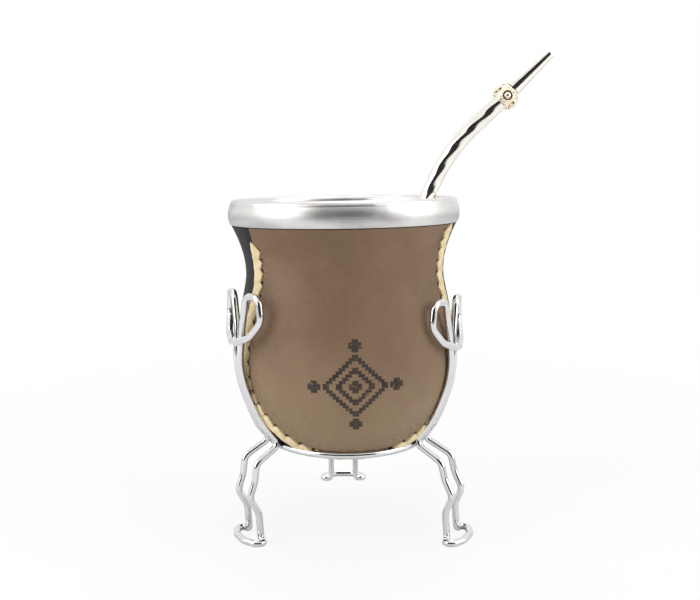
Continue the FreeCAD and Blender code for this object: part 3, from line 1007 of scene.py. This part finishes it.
def banked(point):
    angle = 2 * math.pi * (point.x + 0.5)
    share = point.y + 0.5
    out = min(1.0, share / TOP_SHARE)
    z = BANK_TOP
    for _ in range(3):
        x = wall_centre(z) + out * wall_r(z) * cos(angle) - axis.x
        y = out * wall_r(z) * sin(angle)
        z = heap_z(x, y)
    if share <= TOP_SHARE:
        return Vector((axis.x + x, axis.y + y, z + grain(x, y)))
    fall = (share - TOP_SHARE) / (1 - TOP_SHARE)
    down = z + (FLOOR_Z - z) * min(1.0, fall / SIDE_SHARE)
    inward = 1.0 if fall <= 0.8 else max(0.0, 1 - (fall - 0.8) / 0.2)
    r = wall_r(max(down, cup_bottom + 12 * MM)) * inward
    return Vector((wall_centre(down) + r * cos(angle), axis.y + r * sin(angle), down))


move_points(heap, banked)
start_edit(heap, "SELECT")
bpy.ops.mesh.remove_doubles(threshold=0.00002)
bpy.ops.mesh.normals_make_consistent(inside=False)
end_edit()
settle(heap)
report(heap)
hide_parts("yerba")
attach(heap, "root")

# %% [markdown]
# ## Loose leaf, stems and froth
#
# Leaf, stems and bubbles lie in hundreds or thousands, so one small model of each is made
# and one mesh is filled with its copies, each turned and scaled by chance from a fixed
# seed. Chips and stems lie along the bank's slope. The finest dust has floated off the
# bank's foot, and froth gathers at the wall and round the straw.

# %% Strewing copies
rng = random.Random(11)


def strewn(model, name, places):
    """Copies of one model at many places, as one mesh."""
    corners = [v.co.copy() for v in model.data.vertices]
    faces = [tuple(p.vertices) for p in model.data.polygons]
    all_corners, all_faces = [], []
    for place in places:
        first = len(all_corners)
        all_corners += [place @ corner for corner in corners]
        all_faces += [tuple(first + i for i in face) for face in faces]
    mesh = bpy.data.meshes.new(name)
    mesh.from_pydata(all_corners, [], all_faces)
    piece = bpy.data.objects.new(name, mesh)
    bpy.context.collection.objects.link(piece)
    select_only(model)
    bpy.ops.object.delete()
    return settle(piece)


def bank_spot(margin):
    """A random place on the dry part of the bank, and the bank's slope there."""
    while True:
        angle, share = rng.uniform(0, 2 * math.pi), math.sqrt(rng.random())
        x = wall_centre(crest_z) - axis.x + share * (wall_r(BANK_TOP) - margin) * cos(angle)
        y = share * (wall_r(BANK_TOP) - margin) * sin(angle)
        z = heap_z(x, y)
        clear = Vector((x - STRAW_X + 6 * MM, y - STRAW_Y)).length > 5 * MM
        if z > LEVEL - 0.3 * MM and clear:
            tilt = Vector(((heap_z(x - MM, y) - heap_z(x + MM, y)) / (2 * MM),
                           (heap_z(x, y - MM) - heap_z(x, y + MM)) / (2 * MM), 1)).normalized()
            return Vector((axis.x + x, axis.y + y, z + grain(x, y))), tilt


def lay_loose(margin, size, lift, tumble):
    spot, up = bank_spot(margin)
    turn = up.to_track_quat("Z", "Y").to_matrix().to_4x4()
    spin = Matrix.Rotation(rng.uniform(0, 2 * math.pi), 4, "Z")
    rock = Matrix.Rotation(rng.gauss(0, tumble), 4, "X")
    rock = rock @ Matrix.Rotation(rng.gauss(0, tumble), 4, "Y")
    scale = Matrix.Diagonal((*[rng.uniform(*side) for side in size], 1))
    return Matrix.Translation(spot + up * rng.uniform(0, lift)) @ turn @ spin @ rock @ scale

# %% Loose leaf and stems
CHIP_SIDES = [(0.0007, 0.0028), (0.0005, 0.0015), (0.0006, 0.0014)]
STEM_SIDES = [(0.0025, 0.0085), (0.0005, 0.0011), (0.0005, 0.0010)]
CHIPS, STEMS = 4200, 150


def curled(point):
    """A flat square drawn to a pointed, cupped leaf chip."""
    cup = 0.35 * point.x * point.x + 0.5 * point.y * point.y
    return Vector((point.x, point.y * (1 - 0.8 * abs(point.x)), cup))


bpy.ops.mesh.primitive_grid_add(x_subdivisions=3, y_subdivisions=2, size=1)
leaf = adopt("leaf_chip")
move_points(leaf, curled)
apply_modifier(leaf, "SOLIDIFY", thickness=0.12, offset=0.0)
chips = strewn(leaf, "leaf_chips", [
    lay_loose(0.8 * MM, CHIP_SIDES, 0.5 * MM, 0.35) for _ in range(CHIPS)])
bpy.ops.mesh.primitive_cylinder_add(vertices=7, radius=0.5, depth=1.0, rotation=(0, radians(90), 0))
stem = adopt("stem_bit")
select_only(stem)
bpy.ops.object.transform_apply(rotation=True)
apply_modifier(stem, "BEVEL", width=0.12, segments=2)
stems = strewn(stem, "stem_bits", [
    lay_loose(4.5 * MM, STEM_SIDES, 0.6 * MM, 0.12) for _ in range(STEMS)])
for piece in (chips, stems):
    report(piece)
    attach(piece, "root")

# %% Leaf that has drifted off the bank
FLOATING = 620


def afloat():
    """A random place on the drink, most often close to the bank."""
    while True:
        y = rng.uniform(-1, 1) * wall_r(LEVEL)
        shore = wall_centre(LEVEL) - axis.x - 4.6 * MM + 2.5 * MM * sin(y / MM * 0.21 + 0.8)
        x = shore + rng.expovariate(1 / 3.0) * MM * (1.6 if rng.random() < 0.25 else 0.7)
        inside = Vector((x, y)).length < wall_r(LEVEL) - 1.5 * MM
        if inside and heap_z(x, y) < LEVEL + 0.2 * MM:
            return Vector((axis.x + x, axis.y + y, LEVEL + 0.1 * MM))


def lay_afloat():
    spin = Matrix.Rotation(rng.uniform(0, 2 * math.pi), 4, "Z")
    spin = spin @ Matrix.Rotation(rng.gauss(0, 0.12), 4, "X")
    scale = Matrix.Diagonal((rng.uniform(0.5, 2.2) * MM, rng.uniform(0.4, 1.3) * MM, 0.5 * MM, 1))
    return Matrix.Translation(afloat()) @ spin @ scale


bpy.ops.mesh.primitive_grid_add(x_subdivisions=3, y_subdivisions=2, size=1)
wet_leaf = adopt("wet_leaf")
move_points(wet_leaf, lambda co: Vector((co.x, co.y * (1 - 0.7 * abs(co.x)), 0.3 * co.x * co.x)))
apply_modifier(wet_leaf, "SOLIDIFY", thickness=0.15, offset=0.0)
drifting = strewn(wet_leaf, "drifting_leaf", [lay_afloat() for _ in range(FLOATING)])
report(drifting)
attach(drifting, "root")

# %% The drink
# Rolled from a grid as the bank is. A thin lip climbs the wall, as water does.
SURFACE_SHARE = 0.7
DRINK_DEPTH = 8.5 * MM
bpy.ops.mesh.primitive_grid_add(x_subdivisions=140, y_subdivisions=60, size=1)
drink = adopt("mate_drink")


def filled(point):
    angle = 2 * math.pi * (point.x + 0.5)
    share = point.y + 0.5
    r = wall_r(LEVEL)
    if share <= SURFACE_SHARE:
        out, shrink = share / SURFACE_SHARE, 1.0
        z = LEVEL + 0.35 * MM * math.exp(-(1 - out) * r / (0.9 * MM))
    else:
        out, shrink = 1 - (share - 0.7) / 0.3, 0.985
        z = LEVEL - DRINK_DEPTH
    x = wall_centre(LEVEL) - axis.x + out * r * cos(angle)
    y = out * r * sin(angle)
    return Vector((axis.x + x * shrink, axis.y + y * shrink, z))


move_points(drink, filled)
start_edit(drink, "SELECT")
bpy.ops.mesh.remove_doubles(threshold=0.00002)
bpy.ops.mesh.normals_make_consistent(inside=False)
end_edit()
settle(drink)
report(drink)
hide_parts("infusion")
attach(drink, "root")

# %% Froth
BUBBLES = 420
straw_in_drink, _ = straw_at((LEVEL - crest_z) / cos(STRAW_LEAN))
bpy.ops.mesh.primitive_uv_sphere_add(segments=12, ring_count=8, radius=1.0)
bubble = adopt("bubble")
froth_places = []
while len(froth_places) < BUBBLES:
    angle = rng.uniform(-1.6, 1.6)
    near_wall = rng.random() < 0.6
    size = rng.uniform(0.25, 1.0) ** 2 * 1.0 * MM + 0.15 * MM
    if near_wall:
        out = wall_r(LEVEL) - 0.5 * MM - abs(rng.gauss(0, 1.6)) * MM - size
        x = wall_centre(LEVEL) - axis.x + out * cos(angle)
        y = out * sin(angle)
    else:
        away = STRAW_R + abs(rng.gauss(0, 2.4)) * MM + size
        turn = rng.uniform(0, 2 * math.pi)
        x = straw_in_drink.x - axis.x + away * cos(turn)
        y = STRAW_Y + away * sin(turn)
    inside = Vector((x + axis.x - wall_centre(LEVEL), y)).length < wall_r(LEVEL) - 0.3 * MM - size
    if inside and heap_z(x, y) < LEVEL + 0.3 * MM:
        spot = Vector((axis.x + x, axis.y + y, LEVEL - 0.25 * size))
        froth_places.append(Matrix.Translation(spot) @ Matrix.Diagonal((size, size, 0.85 * size, 1)))
froth = strewn(bubble, "froth", froth_places)
report(froth)
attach(froth, "root")

# %% [markdown]
# ## Finishes
#
# Every finish is worked out from the place on the object: brown hide with pores, rubbed
# patches, painted floor-bounce light low down and painted shade in and round its holes;
# black hide with a fine grain; cream rawhide with painted shade at its edges; plated wire
# with rubbed spots; spun aluminium with smears and a painted dark reflection; stained gourd.

# %% [markdown]
# ## Brown hide and its printed ornament
#
# The panel is thin calf hide, dyed brown, with painted floor-bounce light making it paler low
# down. The ornament is worked out from the place on the panel: whole steps sideways and whole
# steps up add up to rings with stepped edges, as on woven belts, and some rings are inked.
# Holes, painted shade in and round them, and creases follow the stitch number and the
# distance from the seam that the hide carries.

# %% Where the ornament sits
ORNAMENT_H = 33.2 * MM
ORNAMENT_ASIDE = 3.4 * MM
STEP = 1.15
BIG_RINGS, SMALL_RINGS, SMALL_AWAY = (0, 1, 4, 5, 8, 9), (0, 1), 14.6
brown = Sheet("brown_hide")
place = brown.mm()
mark_centre = cup_place @ cup_turn @ Vector((0, 0, ORNAMENT_H))
mark_middle = tuple(mark_centre + Vector((ORNAMENT_ASIDE, 0, 0)))
side, _, up = brown.axes(brown.mm(mark_middle, (0, -CUP_TILT, 0)))
facing = brown.axes(place)[1].at_most(mark_centre.y / MM - 10)


def steps_of(value, size):
    """How many whole steps a distance from the middle holds."""
    return (value.call("ABSOLUTE") / size).call("FLOOR")


def stepped_diamond(x, z, size, dark_rings):
    """Rings of a diamond with stepped edges, as woven on belts."""
    ring = steps_of(x, size) + steps_of(z, size)
    mask = None
    for number in dark_rings:
        here = 1 - (ring - number).call("ABSOLUTE").ease(0.2, 0.4)
        mask = here if mask is None else mask + here
    return mask


mark = stepped_diamond(side, up, STEP, BIG_RINGS)
for offset in (-SMALL_AWAY, SMALL_AWAY):
    mark = mark + stepped_diamond(side - offset, up, STEP, SMALL_RINGS)
    mark = mark + stepped_diamond(side, up - offset, STEP, SMALL_RINGS)
worn = brown.noise(place, 0.9, 4).ease(0.26, 0.42) * (0.80 + brown.noise(place, 7) * 0.35)
mark = mark.call("MINIMUM", 1.0) * worn * facing

# %% Stitch holes and the painted shade in and round them
STITCH_L, HOLE_ALONG, HOLE_ACROSS = 5.2, 0.16, 2.35
stitch_number = brown.attribute("stitch")
across_seam = brown.attribute("across")
share = stitch_number.call("FRACT")
along_hole = (share - HOLE_ALONG) * STITCH_L
across_hole = across_seam + HOLE_ACROSS
hole_away = (along_hole * along_hole * 0.75 + across_hole * across_hole).call("SQRT")
sewn_here = stitch_number.ease(-0.6, -0.4)
# Painted shade: each hole is coloured near black, and a ring round it is darkened.
hole_dip_and_shade = hole_away.ease(1.0, 0.6) * sewn_here
painted_shade_round_hole = hole_away.ease(1.9, 0.7) * sewn_here

# %% Brown hide
blotch = brown.noise(place, 26, 3)
mottle = brown.noise(place, 5, 4, 0.6)
pores = brown.cells(place, 0.55)
_, _, height = brown.axes(brown.mm((0, 0, cup_bottom)))
# Painted floor-bounce light: the panel is blended paler towards its bottom.
painted_floor_bounce = height.ease(58, 12)
hide = brown.blend(blotch.ease(0.3, 0.7), (0.196, 0.119, 0.066), (0.256, 0.164, 0.094))
hide = brown.blend(painted_floor_bounce * 0.7, hide, (0.350, 0.248, 0.146))
hide = brown.blend(mottle.ease(0.42, 0.75) * 0.3, hide, (0.270, 0.160, 0.104))
hide = brown.blend(pores.ease(0.12, 0.0) * 0.25, hide, (0.075, 0.046, 0.034))
# Painted shade: darker round each stitch hole and near black inside it.
hide = brown.blend(painted_shade_round_hole * 0.55, hide, (0.050, 0.028, 0.022))
hide = brown.blend(mark * 0.96, hide, (0.030, 0.023, 0.022))
hide = brown.blend(hole_dip_and_shade, hide, (0.010, 0.007, 0.007))
near_seam = (across_seam + 2.0).call("ABSOLUTE").ease(13, 1) * sewn_here
creases = brown.noise(brown.stretch(place, (0.35, 1, 1)), 1.5, 3, 0.5, 0.8)
creases = creases.ease(0.40, 0.60) * near_seam
relief = brown.bump(pores.ease(0.0, 0.22), 0.05)
relief = brown.bump(1 - creases, 0.28, relief)
relief = brown.bump(brown.noise(brown.stretch(place, (1, 1, 0.6)), 2.4, 5, 0.62), 0.22, relief)
relief = brown.bump(1 - hole_dip_and_shade, 0.8, relief)
dress(panel, brown.finish(
    base_color=hide, roughness=0.50 + mottle * 0.22 + mark * 0.12, specular_ior_level=0.38,
    normal=relief))

# %% [markdown]
# ## Black hide and rawhide
#
# The black hide has a fine pebble grain of small cells and rubbed patches a shade lighter.
# Rawhide is scraped and dried, not tanned: cream, streaked along its length, a little
# waxy where light enters it, and darker with painted shade at its edges and stitch tips.

# %% Black hide
black = Sheet("black_hide")
place = black.mm()
grain_cells = black.cells(place, 0.9)
wear = black.noise(place, 9, 5, 0.65)
coat = black.blend(wear.ease(0.35, 0.8), (0.008, 0.0075, 0.009), (0.022, 0.020, 0.023))
coat = black.blend(grain_cells.ease(0.14, 0.0) * 0.5, coat, (0.003, 0.003, 0.0035))
relief = black.bump(grain_cells.ease(0.0, 0.3), 0.10)
relief = black.bump(black.noise(place, 3.5, 4, 0.6), 0.25, relief)
dress(side_leather, black.finish(
    base_color=coat, roughness=0.48 + wear * 0.25, specular_ior_level=0.28, normal=relief))

# %% Rawhide
raw = Sheet("rawhide_strip")
place = raw.mm()
painted_edge_shade = raw.attribute("edge")
streaks = raw.noise(raw.stretch(place, (1, 1, 0.35)), 0.8, 4, 0.6, 0.4)
patch = raw.noise(place, 6, 2)
lace = raw.blend(streaks.ease(0.35, 0.7), (0.72, 0.56, 0.31), (0.92, 0.78, 0.49))
lace = raw.blend(patch.ease(0.45, 0.75) * 0.5, lace, (0.94, 0.84, 0.60))
# Painted shade at the stitches' sides and tips and along the lace's edges.
lace = raw.blend(painted_edge_shade.ease(0.86, 1.0) * 0.45, lace, (0.48, 0.33, 0.16))
relief = raw.bump(streaks, 0.12)
dress(lacing, raw.finish(
    base_color=lace, roughness=0.46 + streaks * 0.2, specular_ior_level=0.5, normal=relief,
    subsurface_weight=0.12, subsurface_radius=(0.002, 0.0012, 0.0006)))

# %% [markdown]
# ## Metals
#
# The stand is chromed wire, the straw is nickel silver and its collar is gilt. They differ in
# tint only, so one function makes all three, with dull patches, fine scratches and a slight
# wave that bends reflections, as hand-bent wire has. The rim is spun aluminium: rings from
# the turning, and darker patches that are partly smears from wiping and partly a painted
# dark reflection.

# %% Plated and polished metals
def bright_metal(name, clean, dull, dull_share, smoothness, scratch, ripple):
    """Metal with soft dull patches, fine scratches and a slight wave in its surface."""
    sheet = Sheet(name)
    place = sheet.mm()
    dullness = sheet.noise(place, 7, 4, 0.6).ease(0.5, 0.85)
    lines = sheet.noise(sheet.stretch(place, (1, 1, 5)), 0.5, 3, 0.7)
    tint = sheet.blend(dullness * dull_share, clean, dull)
    rough = smoothness + dullness * dull_share * 0.22 + lines * scratch
    relief = sheet.bump(lines, 0.01)
    relief = sheet.bump(sheet.noise(place, 4, 2), ripple, relief)
    return sheet.finish(base_color=tint, metallic=1.0, roughness=rough, normal=relief)


RIPPLE = 0.03
chrome = bright_metal(
    "chromed_wire", (0.74, 0.74, 0.75), (0.52, 0.51, 0.50), 0.4, 0.04, 0.03, RIPPLE)
nickel = bright_metal(
    "nickel_silver", (0.90, 0.87, 0.80), (0.70, 0.63, 0.50), 0.4, 0.05, 0.03, RIPPLE)
gilt = bright_metal(
    "pale_gilt", (0.90, 0.82, 0.66), (0.60, 0.48, 0.30), 0.7, 0.09, 0.05, RIPPLE)
for name in ("ring", "leg_left", "leg_right", "leg_back"):
    dress(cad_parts[name], chrome)
for name in ("straw_mouthpiece", "straw_strainer"):
    dress(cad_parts[name], nickel)
dress(tube, nickel)
dress(collar, gilt)

# %% Spun aluminium rim
spun_metal = Sheet("spun_aluminium")
place = spun_metal.mm((axis.x, axis.y, 0))
turning = spun_metal.noise(spun_metal.stretch(place, (0.03, 0.03, 3.0)), 0.6, 4, 0.6)
smear_and_dark_reflection = spun_metal.noise(spun_metal.stretch(place, (0.5, 0.5, 1.3)), 11, 3, 0.5, 0.3)
spots = spun_metal.noise(place, 1.2, 2)
# Darker patches in the aluminium's colour: partly wiping smears, partly a painted dark reflection.
tint = spun_metal.blend(smear_and_dark_reflection.ease(0.42, 0.72), (0.70, 0.69, 0.675), (0.50, 0.485, 0.475))
tint = spun_metal.blend(spots.ease(0.62, 0.72) * 0.25, tint, (0.42, 0.40, 0.39))
relief = spun_metal.bump(turning, 0.03)
relief = spun_metal.bump(spun_metal.noise(place, 9, 2), 0.15, relief)
dress(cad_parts["rim"], spun_metal.finish(
    base_color=tint, metallic=1.0, roughness=0.27 + smear_and_dark_reflection * 0.14 + turning * 0.06, normal=relief))

# %% [markdown]
# ## Gourd, yerba and drink
#
# Inside, the bare gourd is fibrous and stained dark by many fillings. Packed yerba, chips and
# stems share one kind of finish, in which the tone changes from bit to bit. The drink is
# cloudy, so it is an opaque glossy surface with swirls and specks, and froth is paler.

# %% Gourd
shell = Sheet("gourd_shell")
place = shell.mm()
fibres = shell.noise(shell.stretch(place, (1, 1, 0.2)), 1.0, 5, 0.65)
stain = shell.noise(place, 9, 4, 0.6)
wood = shell.blend(fibres.ease(0.35, 0.7), (0.20, 0.105, 0.045), (0.36, 0.215, 0.105))
wood = shell.blend(stain.ease(0.45, 0.75) * 0.7, wood, (0.085, 0.058, 0.026))
dress(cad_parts["gourd"], shell.finish(
    base_color=wood, roughness=0.6 + fibres * 0.2, normal=shell.bump(fibres, 0.2)))

# %% Yerba
def leafy(name, dark, mid, pale, size, rough):
    """Chopped leaf or stem: tone changes from bit to bit."""
    sheet = Sheet(name)
    place = sheet.mm()
    bit = sheet.cells(place, size, "F1")
    tone = sheet.noise(place, size * 1.3, 3, 0.7)
    patch = sheet.noise(place, 8, 2)
    colour = sheet.blend(tone.ease(0.34, 0.62), dark, mid)
    colour = sheet.blend((tone + bit * 0.3 + patch * 0.4).ease(0.72, 1.02), colour, pale)
    relief = sheet.bump(tone, 0.25)
    return sheet.finish(base_color=colour, roughness=rough + tone * 0.25, normal=relief)


packed = leafy(
    "packed_yerba", (0.035, 0.045, 0.010), (0.10, 0.115, 0.028), (0.23, 0.24, 0.075), 0.9, 0.6)
leaf_finish = leafy(
    "chopped_leaf", (0.060, 0.078, 0.016), (0.155, 0.175, 0.045), (0.31, 0.32, 0.11), 1.2, 0.6)
woody = leafy(
    "cut_stems", (0.22, 0.19, 0.075), (0.38, 0.33, 0.15), (0.55, 0.49, 0.27), 1.5, 0.55)
dress(heap, packed)
for piece in (chips, drifting):
    dress(piece, leaf_finish)
dress(stems, woody)

# %% Drink and froth
brew = Sheet("olive_brew")
place = brew.mm()
swirl = brew.noise(place, 7, 4, 0.6, 1.2)
specks = brew.noise(place, 0.5, 2)
liquid = brew.blend(swirl.ease(0.3, 0.7), (0.055, 0.062, 0.012), (0.125, 0.130, 0.030))
liquid = brew.blend(specks.ease(0.66, 0.74) * 0.6, liquid, (0.24, 0.25, 0.09))
dress(drink, brew.finish(
    base_color=liquid, roughness=0.04 + swirl * 0.06, specular_ior_level=0.5,
    normal=brew.bump(brew.noise(place, 3.5, 2), 0.08)))

foam = Sheet("pale_froth")
place = foam.mm()
film = foam.noise(place, 0.9, 3)
froth_tone = foam.blend(film.ease(0.3, 0.7), (0.42, 0.44, 0.17), (0.72, 0.72, 0.42))
dress(froth, foam.finish(base_color=froth_tone, roughness=0.10 + film * 0.15, specular_ior_level=0.6))
